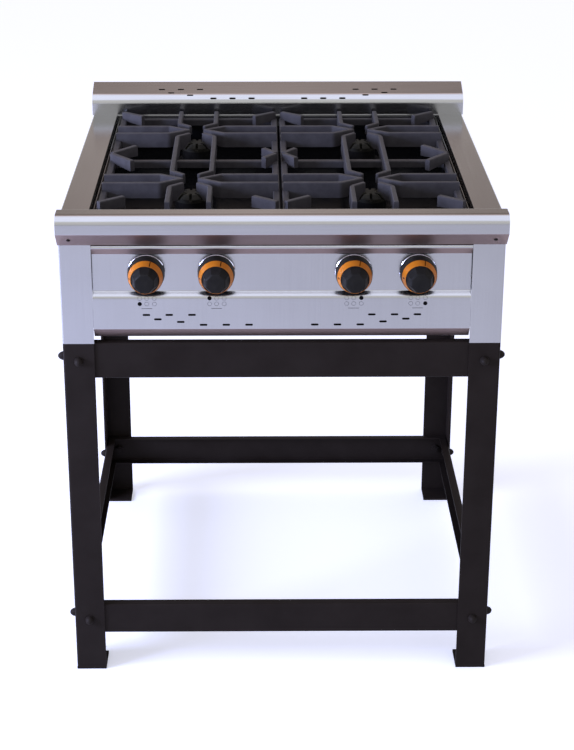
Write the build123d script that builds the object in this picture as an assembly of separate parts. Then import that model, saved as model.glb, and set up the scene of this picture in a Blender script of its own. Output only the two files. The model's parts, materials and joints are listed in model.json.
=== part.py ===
from build123d import *
import os

# Free-standing gas hob: a folded stainless body with two cast grates, on a bolted angle-iron stand.
# Millimetres. +X is to the right, +Y to the rear and +Z up, and the origin is on the floor under the
# middle of the whole object. Pieces are drawn with Y counted from the front face of the legs, and
# save() moves them to the origin.

# Stand of angle legs and channel rails
STAND_WIDTH = 697.4
STAND_DEPTH = 657.0
LEG_HEIGHT = 602.0
LEG_FLANGE = 50.0
LEG_THICKNESS = 3.0
LEG_CORNER = 4.0
FOOT_THICKNESS = 4.0
RAIL_SHEET = 2.0
RAIL_FLANGE = 15.0
RAIL_BEND = 3.0
UPPER_RAIL_HEIGHT = 61.0
LOWER_RAIL_HEIGHT = 55.0
LOWER_RAIL_BOTTOM = 69.5
RAIL_GAP = 0.5

# Bolts of the stand, and the smaller ones that hold the body on it
BOLT_RADIUS = 4.0
BOLT_HEAD_RADIUS = 7.5
BOLT_HEAD_TIP = 3.5
BOLT_HEAD_HEIGHT = 11.0
NUT_RADIUS = 7.5
NUT_HEIGHT = 6.5
BOLT_END = 2.0
CASING_BOLT_RADIUS = 2.0
CASING_BOLT_HEAD = 4.0
CASING_BOLT_HEAD_HEIGHT = 3.0
CASING_BOLT_INSET = 100.0
HOLE_CLEARANCE = 0.2

# Folded stainless body
SHEET = 1.2
BEND = 2.5
POST_WIDTH = 50.5
CASING_HEIGHT = 206.0
CASING_FOOT = 25.0
STRIP_WIDTH = 44.7
LEDGE_WIDTH = 12.0
SEAM_GAP = 0.3

# Front nosing
NOSING_STEP = 14.0
NOSING_TOP_DEPTH = 38.0
NOSING_REACH = 22.0
NOSING_FACE = 30.0
NOSING_UNDERCUT = 24.0
NOSING_BEND = 15.0
END_CLEARANCE = 0.1

# Control panel, from its top edge downwards
PANEL_LIP = 6.0
PANEL_LIP_BEND = 5.0
PANEL_TOP_SLOPE = 11.3
PANEL_RECESS = 7.0
KNOB_BAND = 62.0
PANEL_LOWER_SLOPE = 6.5
FASCIA_HEIGHT = 55.2
FASCIA_BEND = 10.0
PANEL_FOOT_SLOPE = 17.0
PANEL_FOOT_SETBACK = 12.0
PANEL_RETURN = 14.0
PANEL_TAB = 18.0

# Vent slots: an inner row, then an outer group in three rows, with the drop below the top row
SLOT_LENGTH = 12.0
SLOT_WIDTH = 3.4
SLOT_PITCH = 18.0
INNER_SLOTS = {0: 17.0, 2: 17.0, 4: 17.0}
OUTER_SLOTS = {0: 0.0, 1: 12.0, 2: 0.0, 3: 7.4, 4: 0.0}
PANEL_INNER_SLOT = 52.0
PANEL_OUTER_SLOT = 142.0
PANEL_SLOT_DROP = 31.0
BACKGUARD_INNER_SLOT = 49.6
BACKGUARD_OUTER_SLOT = 147.6
BACKGUARD_SLOT_RISE = 23.6
BACKGUARD_SLOT_SPREAD = 1.37

# Baffles: dark folded strips a little way behind the vent slots
BAFFLE_SETBACK = 8.0
BAFFLE_MARGIN = 12.0
BAFFLE_EDGE = 5.2
BAFFLE_FOOT = 14.0
BAFFLE_REACH = 42.0

# Backguard and rear panel
BACKGUARD_RISE = 54.0
BACKGUARD_FACE = 34.0
BACKGUARD_DEPTH = 50.0
BACKGUARD_OVERHANG = 21.0
BACKGUARD_BEND = 18.0
BACKGUARD_RETURN = 30.0
BASE_FOLD = 4.0
REAR_FLANGE = 16.0

# Spill pan
PAN_DROP = 16.0
PAN_SHEET = 1.5
PAN_DEPTH = 44.0
PAN_FRONT_RIM = 52.0
PAN_REAR_RIM = 14.0
PAN_SIDE_RIM = 23.0
PAN_CORNER = 30.0
PAN_DRAFT = 6.0
COLLAR_HEIGHT = 12.0

# Cast grates
GRATE_HEIGHT = 26.0
GRATE_LOW_BAR = 12.0
GRATE_SIDE_GAP = 9.0
GRATE_MIDDLE_GAP = 4.0
GRATE_FRONT_GAP = 45.0
GRATE_REAR_GAP = 3.0
BAR_WIDTH = 9.0
BAR_ROOT = 1.5
SIDE_BAR_WIDTH = 11.0
CROSSBAR_WIDTH = 12.0
LOW_BAR_ROUND = 2.5
FRAME_CORNER = 4.0
BAR_DRAFT = 1.5
BAR_EDGE = 1.2
BAR_BEND = 9.0
BURNER_SPREAD = 0.5357
PENCIL_HALF = 23.0
PENCIL_NECK = 50.0
PENCIL_TIP = 16.0
FORK_HALF = 33.0
FORK_NECK = 43.0
FORK_TIP_ACROSS = 14.0
FORK_TIP_ALONG = 25.0
BRACE_INSET = 5.0
BRACE_RISE = 11.0
BRACE_TIP = 7.0
CORNER_FROM_END = 6.0
CORNER_ACROSS = 38.0
CORNER_ALONG = 30.0
VEE_FROM_MIDDLE = 2.0
OUTER_VEE_ACROSS = 38.0
OUTER_VEE_ALONG = 45.0
INNER_VEE_ACROSS = 21.0
INNER_VEE_ALONG = 28.0
RELIEF_RADIUS = 44.0
RELIEF_HEIGHT = 10.0

# Burners
BURNER_FLANGE_RADIUS = 36.0
BURNER_FLANGE_HEIGHT = 3.0
BURNER_HEAD_RADIUS = 27.0
BURNER_HEAD_HEIGHT = 22.0
BURNER_WALL = 4.0
THROAT_RADIUS = 11.0
THROAT_DROP = 14.0
MOUTH_HEIGHT = 5.0
MOUTH_FLARE = 3.0
YOKE_HEIGHT = 6.0
YOKE_WIDTH = 9.0
CAP_HEIGHT = 12.0
CAP_TOP_RADIUS = 18.0
CAP_SPIGOT = 3.5
CAP_FIT = 0.2
PORT_COUNT = 8
PORT_WIDTH = 4.5
PORT_LENGTH = 17.0
PORT_HEIGHT = 9.0

# Gas train
MANIFOLD_RADIUS = 10.65
MANIFOLD_WALL = 2.65
MANIFOLD_SETBACK = 40.0
MANIFOLD_DROP = 30.0
MANIFOLD_END = 5.0
BOSS_RADIUS = 10.0
BOSS_HEIGHT = 14.0
GAS_PORT_RADIUS = 4.0
TEE_INSET = 35.9
TEE_RADIUS = 14.0
TEE_LENGTH = 20.0
INLET_THREAD_RADIUS = 10.48
INLET_THREAD_LENGTH = 16.0
INLET_SETBACK = 2.0
BRACKET_SHEET = 3.0
BRACKET_WIDTH = 36.0
BRACKET_FOOT = 22.0
BRACKET_MARGIN = 6.0
TUBE_RADIUS = 4.0
TUBE_BEND = 24.0
TUBE_LEAD = 22.0
TUBE_CROSSING = 46.0
JET_RADIUS = 6.0
JET_RISE = 16.0
ELBOW_RADIUS = 8.0
ELBOW_LENGTH = 24.0
ELBOW_RISE = 7.5

# Gas taps and their sliding spring caps, with depths behind the face of the knob band
TAP_FRONT = 3.5
BONNET_LENGTH = 10.5
BONNET_WALL = 2.5
TAP_RADIUS = 12.0
TAP_LENGTH = 34.0
TAP_NECK_RADIUS = 7.0
TAP_NECK_LENGTH = 14.0
TAP_INLET_RADIUS = 8.0
SPRING_CAP_RADIUS = 7.0
SPRING_CAP_LENGTH = 5.0
SPRING_CAP_DEPTH = 0.5
RUNNING_CLEARANCE = 0.05
SPINDLE_RADIUS = 4.0
SPINDLE_FLAT = 1.2
SPINDLE_BEHIND = 19.0
SPINDLE_COLLAR_RADIUS = 6.0
SPINDLE_COLLAR_LENGTH = 2.0
SPINDLE_POCKET = 6.0
SPINDLE_HOLE = 2.0

# Knobs, placed by shares of the panel's half width, with heights in front of the knob band
KNOB_SHARES = (-0.7150, -0.34575, 0.37932, 0.71836)
KNOB_GAP = 6.0
SKIRT_RADIUS = 29.3
SKIRT_DRAFT = 1.6
SKIRT_LENGTH = 15.0
SKIRT_WALL = 2.5
DIAL_LENGTH = 13.0
DIAL_INSET = 0.4
GRIP_RADIUS = 22.5
GRIP_TIP_RADIUS = 16.0
GRIP_LENGTH = 18.0
GRIP_SIDES = 8
GRIP_EDGE = 1.2
HUB_RADIUS = 8.0
BEZEL_MARGIN = 1.3
BEZEL_SHEET = 1.2
BEZEL_EDGE = 0.8

# Places worked out from the sizes above
HALF = STAND_WIDTH / 2
STRIP_TOP = LEG_HEIGHT + CASING_HEIGHT
OPENING_HALF = HALF - STRIP_WIDTH
RIM_TOP = STRIP_TOP - PAN_DROP
LEDGE_TOP = RIM_TOP - PAN_SHEET
NOSING_TOP = STRIP_TOP + NOSING_STEP
NOSING_BACK = NOSING_TOP_DEPTH - NOSING_REACH
NOSING_BOTTOM = NOSING_TOP - NOSING_FACE - NOSING_UNDERCUT
NOSING_HALF = HALF + SHEET + END_CLEARANCE
PANEL_HALF = HALF - POST_WIDTH - SEAM_GAP
KNOB_X = [share * PANEL_HALF for share in KNOB_SHARES]
KNOB_Z = NOSING_BOTTOM - PANEL_LIP - PANEL_TOP_SLOPE - KNOB_BAND / 2
REAR = STAND_DEPTH + BACKGUARD_OVERHANG
GUARD_FRONT = REAR - BACKGUARD_DEPTH
GUARD_LIP = GUARD_FRONT - BASE_FOLD
GRATE_WIDTH = OPENING_HALF - GRATE_SIDE_GAP - GRATE_MIDDLE_GAP / 2
GRATE_LENGTH = GUARD_LIP - GRATE_REAR_GAP - NOSING_BACK - GRATE_FRONT_GAP
BURNER_PITCH = GRATE_LENGTH * BURNER_SPREAD
GRATE_X = GRATE_MIDDLE_GAP / 2 + GRATE_WIDTH / 2
GRATE_Y = NOSING_BACK + GRATE_FRONT_GAP + GRATE_LENGTH / 2
PAN_FLOOR = RIM_TOP - PAN_DEPTH
COLLAR_TOP = PAN_FLOOR + COLLAR_HEIGHT
THROAT_OUTER = THROAT_RADIUS + BURNER_WALL
MOUTH_OUTER = THROAT_OUTER + MOUTH_FLARE
MOUTH_BOTTOM = COLLAR_TOP - THROAT_DROP
HEAD_TOP = COLLAR_TOP + BURNER_HEAD_HEIGHT
YOKE_BOTTOM = KNOB_Z + ELBOW_RISE
MANIFOLD_Z = KNOB_Z - MANIFOLD_DROP
MANIFOLD_HALF = PANEL_HALF + 2 * BRACKET_SHEET + MANIFOLD_END
TEE_X = PANEL_HALF - TEE_INSET
KNOB_FRONT = PANEL_RECESS - KNOB_GAP - SKIRT_LENGTH - DIAL_LENGTH - GRIP_LENGTH
TO_ORIGIN = Pos(0, -(KNOB_FRONT + REAR) / 2, 0)

SIDE_SECTION = Plane.YZ
BURNERS = {
    "front_left": (-GRATE_X, GRATE_Y - BURNER_PITCH / 2),
    "rear_left": (-GRATE_X, GRATE_Y + BURNER_PITCH / 2),
    "rear_right": (GRATE_X, GRATE_Y + BURNER_PITCH / 2),
    "front_right": (GRATE_X, GRATE_Y - BURNER_PITCH / 2),
}
KNOBS = dict(zip(BURNERS, KNOB_X))


def save(name, shape):
    """Write one piece, moved to the part's origin."""
    export_step(TO_ORIGIN * shape, f"parts/{name}.step")


def group(pieces):
    """Separate solids that share one node."""
    return Compound([solid for piece in pieces for solid in piece.solids()])


def block(x, y, z):
    """A box between two limits along each axis."""
    size = [high - low for low, high in (x, y, z)]
    middle = [(high + low) / 2 for low, high in (x, y, z)]
    return Pos(*middle) * Box(*size)


def folded(points, side, bend=BEND, thickness=SHEET):
    """Section of a folded sheet whose outer surface runs through the points."""
    return make_face(offset(FilletPolyline(*points, radius=bend), amount=thickness, side=side))


def across(section, half_width):
    """A section in depth and height, drawn out to both sides of the middle."""
    return extrude(SIDE_SECTION * section, amount=half_width, both=True)


def rearward(section, start, end):
    """A section in width and height, drawn out from front to rear."""
    return Pos(0, start, 0) * extrude(Plane.XZ * section, amount=start - end)


def mirrored(shape):
    """The same piece on the other side of the middle."""
    return mirror(shape, about=Plane.YZ)


def to_rear(shape):
    """The front piece turned round for the rear of the stand."""
    return mirror(shape, about=Plane.XZ.offset(-STAND_DEPTH / 2))


def disc(radius, bottom, top):
    """An upright cylinder between two heights."""
    return Pos(0, 0, (bottom + top) / 2) * Cylinder(radius, top - bottom)


def corner_levels():
    upper = LEG_HEIGHT - UPPER_RAIL_HEIGHT / 2
    lower = LOWER_RAIL_BOTTOM + LOWER_RAIL_HEIGHT / 2
    return upper, lower


def frame_bolt_planes():
    """A plane on the outer face of the leg at each bolt, facing outwards."""
    planes = []
    for z in corner_levels():
        for side in (-1, 1):
            for y, outward in ((0, -1), (STAND_DEPTH, 1)):
                face_x = side * (HALF - LEG_FLANGE / 2)
                planes.append(Plane((face_x, y, z), x_dir=(0, 0, 1), z_dir=(0, outward, 0)))
                side_y = y - outward * LEG_FLANGE / 2
                planes.append(Plane((side * HALF, side_y, z), x_dir=(0, 0, 1), z_dir=(side, 0, 0)))
    return planes


def frame_bolt_holes():
    grip = LEG_THICKNESS + RAIL_SHEET
    return [plane * disc(BOLT_RADIUS + HOLE_CLEARANCE, -grip, 0) for plane in frame_bolt_planes()]


def frame_bolt():
    """Round-headed bolt with its seat at height 0."""
    grip = LEG_THICKNESS + RAIL_SHEET + NUT_HEIGHT + BOLT_END
    base = BOLT_HEAD_HEIGHT / 2
    head = disc(BOLT_HEAD_RADIUS, 0, base)
    head += Pos(0, 0, base + base / 2) * Cone(BOLT_HEAD_RADIUS, BOLT_HEAD_TIP, base)
    return head + disc(BOLT_RADIUS, -grip, 0)


def frame_nut():
    seat = -(LEG_THICKNESS + RAIL_SHEET)
    nut = extrude(Pos(0, 0, seat) * RegularPolygon(NUT_RADIUS, 6), amount=-NUT_HEIGHT)
    return nut - disc(BOLT_RADIUS, seat - NUT_HEIGHT, seat)


def front_left_leg():
    """Angle leg standing on a square foot plate."""
    angle = folded(
        [(LEG_FLANGE - HALF, 0), (-HALF, 0), (-HALF, LEG_FLANGE)], Side.RIGHT, LEG_CORNER, LEG_THICKNESS
    )
    leg = extrude(Pos(0, 0, FOOT_THICKNESS) * angle, amount=LEG_HEIGHT - FOOT_THICKNESS)
    return leg + block((-HALF, LEG_FLANGE - HALF), (0, LEG_FLANGE), (0, FOOT_THICKNESS))


def channel(outer, bottom, height):
    """Channel section with its web outwards and its flanges towards the middle of the stand."""
    inner = outer + RAIL_FLANGE
    top = bottom + height
    points = [(inner, bottom), (outer, bottom), (outer, top), (inner, top)]
    return folded(points, Side.RIGHT, RAIL_BEND, RAIL_SHEET)


def front_rail(bottom, height):
    length = HALF - LEG_THICKNESS - RAIL_SHEET - RAIL_GAP
    return across(channel(LEG_THICKNESS, bottom, height), length)


def left_rail(bottom, height):
    """Side rail, its flanges cut back at both ends to clear the front and rear rails."""
    web = LEG_THICKNESS - HALF
    rail = rearward(channel(web, bottom, height), LEG_CORNER, STAND_DEPTH - LEG_CORNER)
    notch_end = LEG_THICKNESS + RAIL_FLANGE + RAIL_GAP
    notch = block((web + RAIL_SHEET, web + RAIL_FLANGE), (0, notch_end), (bottom, bottom + height))
    return rail - notch - to_rear(notch)


def build_stand():
    holes = frame_bolt_holes()
    casing_holes = casing_bolt_holes()
    leg = front_left_leg()
    save("leg_front_left", leg - holes)
    save("leg_front_right", mirrored(leg) - holes)
    save("leg_rear_left", to_rear(leg) - holes)
    save("leg_rear_right", to_rear(mirrored(leg)) - holes)
    levels = {
        "upper": (LEG_HEIGHT - UPPER_RAIL_HEIGHT, UPPER_RAIL_HEIGHT),
        "lower": (LOWER_RAIL_BOTTOM, LOWER_RAIL_HEIGHT),
    }
    for level, (bottom, height) in levels.items():
        front = front_rail(bottom, height)
        left = left_rail(bottom, height)
        save(f"{level}_rail_front", front - holes)
        save(f"{level}_rail_rear", to_rear(front) - holes)
        save(f"{level}_rail_left", left - holes - casing_holes)
        save(f"{level}_rail_right", mirrored(left) - holes - casing_holes)
    save("frame_bolts", group([plane * frame_bolt() for plane in frame_bolt_planes()]))
    save("frame_nuts", group([plane * frame_nut() for plane in frame_bolt_planes()]))


def casing_bolt_places():
    """Bolts down through the casings' feet into the side rails, with their seat on the rail."""
    x = HALF - LEG_THICKNESS - (RAIL_FLANGE + RAIL_BEND) / 2
    rows = (CASING_BOLT_INSET, STAND_DEPTH - CASING_BOLT_INSET)
    return [Pos(side * x, y, LEG_HEIGHT) for side in (-1, 1) for y in rows]


def casing_bolt_holes():
    radius = CASING_BOLT_RADIUS + HOLE_CLEARANCE
    return [place * disc(radius, -RAIL_SHEET, SHEET) for place in casing_bolt_places()]


def casing_bolt():
    shank_end = -RAIL_SHEET - CASING_BOLT_HEAD_HEIGHT - BOLT_END
    head = extrude(Pos(0, 0, SHEET) * RegularPolygon(CASING_BOLT_HEAD, 6), amount=CASING_BOLT_HEAD_HEIGHT)
    return head + disc(CASING_BOLT_RADIUS, shank_end, SHEET)


def casing_nut():
    hexagon = Pos(0, 0, -RAIL_SHEET) * RegularPolygon(CASING_BOLT_HEAD, 6)
    nut = extrude(hexagon, amount=-CASING_BOLT_HEAD_HEIGHT)
    return nut - disc(CASING_BOLT_RADIUS, -RAIL_SHEET - CASING_BOLT_HEAD_HEIGHT, -RAIL_SHEET)


def left_casing():
    """Front post, side wall and rear flange, with a top strip that turns down to carry the pan."""
    plan = [
        (POST_WIDTH - HALF, 0),
        (-HALF, 0),
        (-HALF, STAND_DEPTH),
        (POST_WIDTH - HALF, STAND_DEPTH),
    ]
    wall = extrude(Pos(0, 0, LEG_HEIGHT) * folded(plan, Side.RIGHT), amount=CASING_HEIGHT - BEND)
    foot_x = (SHEET - HALF, CASING_FOOT - HALF)
    foot = block(foot_x, (SHEET, STAND_DEPTH - SHEET), (LEG_HEIGHT, LEG_HEIGHT + SHEET))
    strip_start = (-HALF, STRIP_TOP - 2 * BEND)
    strip_corner = (-HALF, STRIP_TOP)
    strip_edge = (-OPENING_HALF, STRIP_TOP)
    strip = rearward(folded([strip_start, strip_corner, strip_edge], Side.RIGHT), 0, STAND_DEPTH)
    ledge = [(-OPENING_HALF, LEDGE_TOP), (LEDGE_WIDTH - OPENING_HALF, LEDGE_TOP)]
    lip_section = folded([strip_start, strip_corner, strip_edge, *ledge], Side.RIGHT)
    lip = rearward(lip_section, NOSING_BACK + SEAM_GAP, GUARD_LIP - SEAM_GAP)
    return wall + foot + strip + lip - casing_bolt_holes()


def lip_with_ledge(edge, inward):
    """Middle part of the nosing or backguard: a wall down to the ledge that carries the pan."""
    half = OPENING_HALF - SEAM_GAP
    wall = block((-half, half), sorted((edge, edge - inward * SHEET)), (LEDGE_TOP + SEAM_GAP, STRIP_TOP))
    ledge_half = half - LEDGE_WIDTH
    tip = edge + inward * LEDGE_WIDTH
    root = edge - inward * SHEET
    stem = block((-ledge_half, ledge_half), sorted((edge, root)), (LEDGE_TOP - SHEET, STRIP_TOP))
    shelf = block((-ledge_half, ledge_half), sorted((root, tip)), (LEDGE_TOP - SHEET, LEDGE_TOP))
    return wall + stem + shelf


def end_plates(outline):
    """A flat plate that closes each end of a folded profile."""
    plate = extrude(SIDE_SECTION * outline, amount=SHEET)
    left = Pos(-NOSING_HALF, 0, 0) * plate
    return left + mirrored(left)


def front_nosing():
    """Rounded front edge over the control panel, closed at both ends."""
    front = -NOSING_REACH
    points = [
        (NOSING_BACK, STRIP_TOP),
        (NOSING_BACK, NOSING_TOP),
        (front, NOSING_TOP),
        (front, NOSING_TOP - NOSING_FACE),
        (0, NOSING_BOTTOM),
    ]
    bends = [BEND, NOSING_BEND, BEND]
    shell = across(folded(points, Side.LEFT, bends), NOSING_HALF)
    seat_height = (NOSING_BOTTOM - SHEET, NOSING_BOTTOM + 2 * SHEET)
    shell -= block((-NOSING_HALF, NOSING_HALF), (0, 2 * SHEET), seat_height)
    outer_line = FilletPolyline(*points, radius=bends)
    outline = make_face(outer_line + Polyline((0, NOSING_BOTTOM), (0, STRIP_TOP), (NOSING_BACK, STRIP_TOP)))
    return shell + end_plates(outline) + lip_with_ledge(NOSING_BACK, 1)


def slot_places(inner_start, outer_start):
    """Vent slots on both sides of the middle: distance from it, and drop below the top row."""
    places = []
    for start, slots in ((inner_start, INNER_SLOTS), (outer_start, OUTER_SLOTS)):
        for column, drop in slots.items():
            x = start + column * SLOT_PITCH
            places += [(x, drop), (-x, drop)]
    return places


def baffle_half(outer_start):
    """Half the length of a baffle that covers every slot of a row that ends at the outer group."""
    last_slot = outer_start + max(OUTER_SLOTS) * SLOT_PITCH
    return last_slot + SLOT_LENGTH / 2 + BAFFLE_MARGIN


def front_baffle():
    """Shallow channel on the back of the fascia, behind its slots."""
    drops = [drop for _, drop in slot_places(PANEL_INNER_SLOT, PANEL_OUTER_SLOT)]
    fascia_top = panel_levels()[4]
    top = fascia_top - PANEL_SLOT_DROP - min(drops) + BAFFLE_EDGE
    bottom = fascia_top - PANEL_SLOT_DROP - max(drops) - BAFFLE_EDGE
    web = SHEET + BAFFLE_SETBACK
    points = [(SHEET, top), (web, top), (web, bottom), (SHEET, bottom)]
    return across(folded(points, Side.RIGHT), baffle_half(PANEL_OUTER_SLOT))


def rear_baffle():
    """Folded strip inside the backguard, behind its slots, from the front face to the sloping top."""
    front = GUARD_FRONT + SHEET
    web = front + BAFFLE_SETBACK
    slope = (BACKGUARD_RISE - BACKGUARD_FACE) / BACKGUARD_DEPTH
    foot = STRIP_TOP + BAFFLE_FOOT
    face_top = STRIP_TOP + BACKGUARD_FACE
    rear = GUARD_FRONT + BAFFLE_REACH
    under_top = face_top + slope * (BAFFLE_REACH - SHEET) - 2 * SHEET
    points = [
        (front, foot),
        (web, foot),
        (web, face_top - BAFFLE_SETBACK / 2),
        (rear, face_top - BAFFLE_SETBACK / 2 + slope * (rear - web)),
        (rear, under_top),
    ]
    return across(folded(points, Side.LEFT), baffle_half(BACKGUARD_OUTER_SLOT))


def panel_levels():
    """Heights of the folds of the control panel, from the top down."""
    drops = (PANEL_LIP, PANEL_TOP_SLOPE, KNOB_BAND, PANEL_LOWER_SLOPE, FASCIA_HEIGHT, PANEL_FOOT_SLOPE)
    levels = [NOSING_BOTTOM]
    for drop in drops:
        levels.append(levels[-1] - drop)
    return levels


def knob_plane(x):
    """On the face of the knob band, facing the user."""
    return Plane((x, PANEL_RECESS, KNOB_Z), x_dir=(1, 0, 0), z_dir=(0, -1, 0))


def spindle_hole_radius():
    return SPINDLE_COLLAR_RADIUS + SPINDLE_HOLE


def control_panel():
    """Folded panel with a recessed knob band, a slotted fascia and tabs behind the posts."""
    top, lip, band_top, band_bottom, fascia_top, fascia_bottom, foot = panel_levels()
    points = [
        (PANEL_RETURN, top),
        (0, top),
        (0, lip),
        (PANEL_RECESS, band_top),
        (PANEL_RECESS, band_bottom),
        (0, fascia_top),
        (0, fascia_bottom),
        (PANEL_FOOT_SETBACK, foot),
        (PANEL_FOOT_SETBACK + PANEL_RETURN, foot),
    ]
    bends = [PANEL_LIP_BEND, BEND, BEND, BEND, FASCIA_BEND, BEND, BEND]
    panel = across(folded(points, Side.LEFT, bends), PANEL_HALF)
    tab_x = (PANEL_HALF - PANEL_TAB, PANEL_HALF + PANEL_TAB)
    tab = block(tab_x, (SHEET, 2 * SHEET), (fascia_bottom + BEND, fascia_top - 2 * FASCIA_BEND))
    panel += tab + mirrored(tab)
    slot = extrude(SlotOverall(SLOT_LENGTH, SLOT_WIDTH), amount=SHEET, both=True)
    for x, drop in slot_places(PANEL_INNER_SLOT, PANEL_OUTER_SLOT):
        panel -= Plane((x, 0, fascia_top - PANEL_SLOT_DROP - drop), x_dir=(1, 0, 0), z_dir=(0, -1, 0)) * slot
    for x in KNOB_X:
        panel -= knob_plane(x) * disc(spindle_hole_radius(), -2 * SHEET, SHEET)
    return panel


def backguard():
    """Slotted upstand at the rear with a sloping top, closed at both ends."""
    face_top = STRIP_TOP + BACKGUARD_FACE
    top = STRIP_TOP + BACKGUARD_RISE
    points = [
        (GUARD_FRONT, STRIP_TOP),
        (GUARD_FRONT, face_top),
        (REAR, top),
        (REAR, STRIP_TOP),
        (REAR - BACKGUARD_RETURN, STRIP_TOP),
    ]
    bends = [BACKGUARD_BEND, BEND, BEND]
    shell = across(folded(points, Side.RIGHT, bends), NOSING_HALF)
    outer_line = FilletPolyline(*points, radius=bends)
    outline = make_face(outer_line + Line(points[-1], points[0]))
    half = OPENING_HALF - SEAM_GAP
    fold = block((-half, half), (GUARD_LIP, GUARD_FRONT + SHEET), (STRIP_TOP - SHEET, STRIP_TOP))
    guard = shell + end_plates(outline) + lip_with_ledge(GUARD_LIP, -1) + fold
    bend_plane = Plane((0, GUARD_FRONT, face_top), x_dir=(1, 0, 0), z_dir=(0, -1, 1))
    slot = Pos(0, 0, -BACKGUARD_BEND / 2) * extrude(
        SlotOverall(SLOT_LENGTH, SLOT_WIDTH), amount=BACKGUARD_BEND, both=True
    )
    for x, drop in slot_places(BACKGUARD_INNER_SLOT, BACKGUARD_OUTER_SLOT):
        rise = BACKGUARD_SLOT_RISE - drop * BACKGUARD_SLOT_SPREAD
        guard -= bend_plane * Pos(x, rise, 0) * slot
    return guard


def rear_panel():
    """Flat panel inside the rear flanges, with a top flange under the backguard."""
    outer = STAND_DEPTH - SHEET
    points = [(outer - REAR_FLANGE, STRIP_TOP), (outer, STRIP_TOP), (outer, LEG_HEIGHT + SHEET)]
    panel = across(folded(points, Side.RIGHT), OPENING_HALF - SEAM_GAP)
    hole = Plane((TEE_X, outer, MANIFOLD_Z), z_dir=(0, 1, 0))
    return panel - hole * disc(MANIFOLD_RADIUS + HOLE_CLEARANCE, -2 * SHEET, SHEET)


def spill_pan():
    """Enamelled pan: a flat rim on the ledges and a drafted well with a collar at each burner."""
    half = OPENING_HALF - BEND
    front = NOSING_BACK + BEND
    rear = GUARD_LIP - BEND
    well_width = 2 * (half - PAN_SIDE_RIM)
    well_front = front + PAN_FRONT_RIM
    well_rear = rear - PAN_REAR_RIM
    well_place = Pos(0, (well_front + well_rear) / 2, RIM_TOP)
    mouth = RectangleRounded(well_width, well_rear - well_front, PAN_CORNER)
    outer_mouth = offset(mouth, amount=PAN_SHEET)
    inner = well_place * extrude(mouth, amount=-PAN_DEPTH, taper=PAN_DRAFT)
    outer = well_place * extrude(outer_mouth, amount=-PAN_DEPTH - PAN_SHEET, taper=PAN_DRAFT)
    pan = block((-half, half), (front, rear), (LEDGE_TOP, RIM_TOP)) + outer - inner
    for x, y in BURNERS.values():
        hole = MOUTH_OUTER + 2 * HOLE_CLEARANCE
        floor = PAN_FLOOR - PAN_SHEET
        pan += Pos(x, y, 0) * disc(hole + PAN_SHEET, floor, COLLAR_TOP)
        pan -= Pos(x, y, 0) * disc(hole, floor, COLLAR_TOP)
    return pan


def bar_run(points):
    """Plan of a cast bar through the points, rounded at its tip."""
    line = FilletPolyline(*points, radius=BAR_BEND)
    return trace(line, line_width=BAR_WIDTH) + Pos(*points[-1]) * Circle(BAR_WIDTH / 2)


def eased(bar):
    """A cast bar with its top edges eased."""
    return chamfer(bar.faces().sort_by(Axis.Z)[-1].edges(), BAR_EDGE)


def tall_bar(plan):
    """A bar as high as the pots stand, with draft on its sides."""
    return eased(extrude(plan, amount=GRATE_HEIGHT, taper=BAR_DRAFT))


def right_grate():
    """Cast grate over two burners, centred on its own plan, its tips cut away below to clear the caps."""
    half = GRATE_WIDTH / 2
    end = GRATE_LENGTH / 2
    casting = grate_frame(half, end)
    for side in (-1, 1):
        casting += tall_bar(fork_prong(side, -1, 0) + fork_prong(side, 1, 0))
        for row in (-1, 1):
            casting += tall_bar(fork_prong(side, row, row * (end - BAR_ROOT)))
            casting += tall_bar(pencil_side(side, row, -1, half) + pencil_side(side, row, 1, half))
            corner = (side * (half - BRACE_INSET), row * (end - CORNER_FROM_END))
            casting += brace(corner, -side * CORNER_ACROSS, -row * CORNER_ALONG)
    for row in (-1, 1):
        middle_y = row * VEE_FROM_MIDDLE
        casting += brace((half - BRACE_INSET, middle_y), -OUTER_VEE_ACROSS, row * OUTER_VEE_ALONG)
        casting += brace((BRACE_INSET - half, middle_y), INNER_VEE_ACROSS, row * INNER_VEE_ALONG)
    relief = Pos(0, 0, RELIEF_HEIGHT / 2) * Cone(RELIEF_RADIUS, RELIEF_RADIUS - RELIEF_HEIGHT, RELIEF_HEIGHT)
    return casting - [Pos(0, row * BURNER_PITCH / 2, 0) * relief for row in (-1, 1)]


def grate_frame(half, end):
    """Low frame that sits on the pan's rim: two sides, two ends and a bar across the middle."""
    window_width = 2 * (half - SIDE_BAR_WIDTH)
    window_length = end - BAR_WIDTH - CROSSBAR_WIDTH / 2
    window = RectangleRounded(window_width, window_length, FRAME_CORNER)
    window_y = (window_length + CROSSBAR_WIDTH) / 2
    plan = RectangleRounded(2 * half, 2 * end, FRAME_CORNER)
    plan -= [Pos(0, row * window_y) * window for row in (-1, 1)]
    frame = extrude(plan, amount=GRATE_LOW_BAR)
    return fillet(frame.faces().sort_by(Axis.Z)[-1].edges(), LOW_BAR_ROUND)


def brace(root, across_reach, along_reach):
    """A short slanting bar that stands on the frame, its underside falling towards its tip."""
    reach = Vector(across_reach, along_reach).length
    upright = Plane((*root, 0), x_dir=(across_reach, along_reach, 0), z_dir=(along_reach, -across_reach, 0))
    underside = [(0, BRACE_RISE), (reach, BRACE_TIP)]
    outline = make_face(Polyline(*underside, (reach, GRATE_HEIGHT), (0, GRATE_HEIGHT), close=True))
    return eased(extrude(upright * outline, amount=BAR_WIDTH / 2, both=True))


def pencil_side(side, row, along_sign, half):
    """One side of the pair of bars that runs in from the edge and closes to a point at a burner."""
    centre = row * BURNER_PITCH / 2
    y = centre + along_sign * PENCIL_HALF
    return bar_run([(side * (half - BAR_ROOT), y), (side * PENCIL_NECK, y), (side * PENCIL_TIP, centre)])


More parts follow.
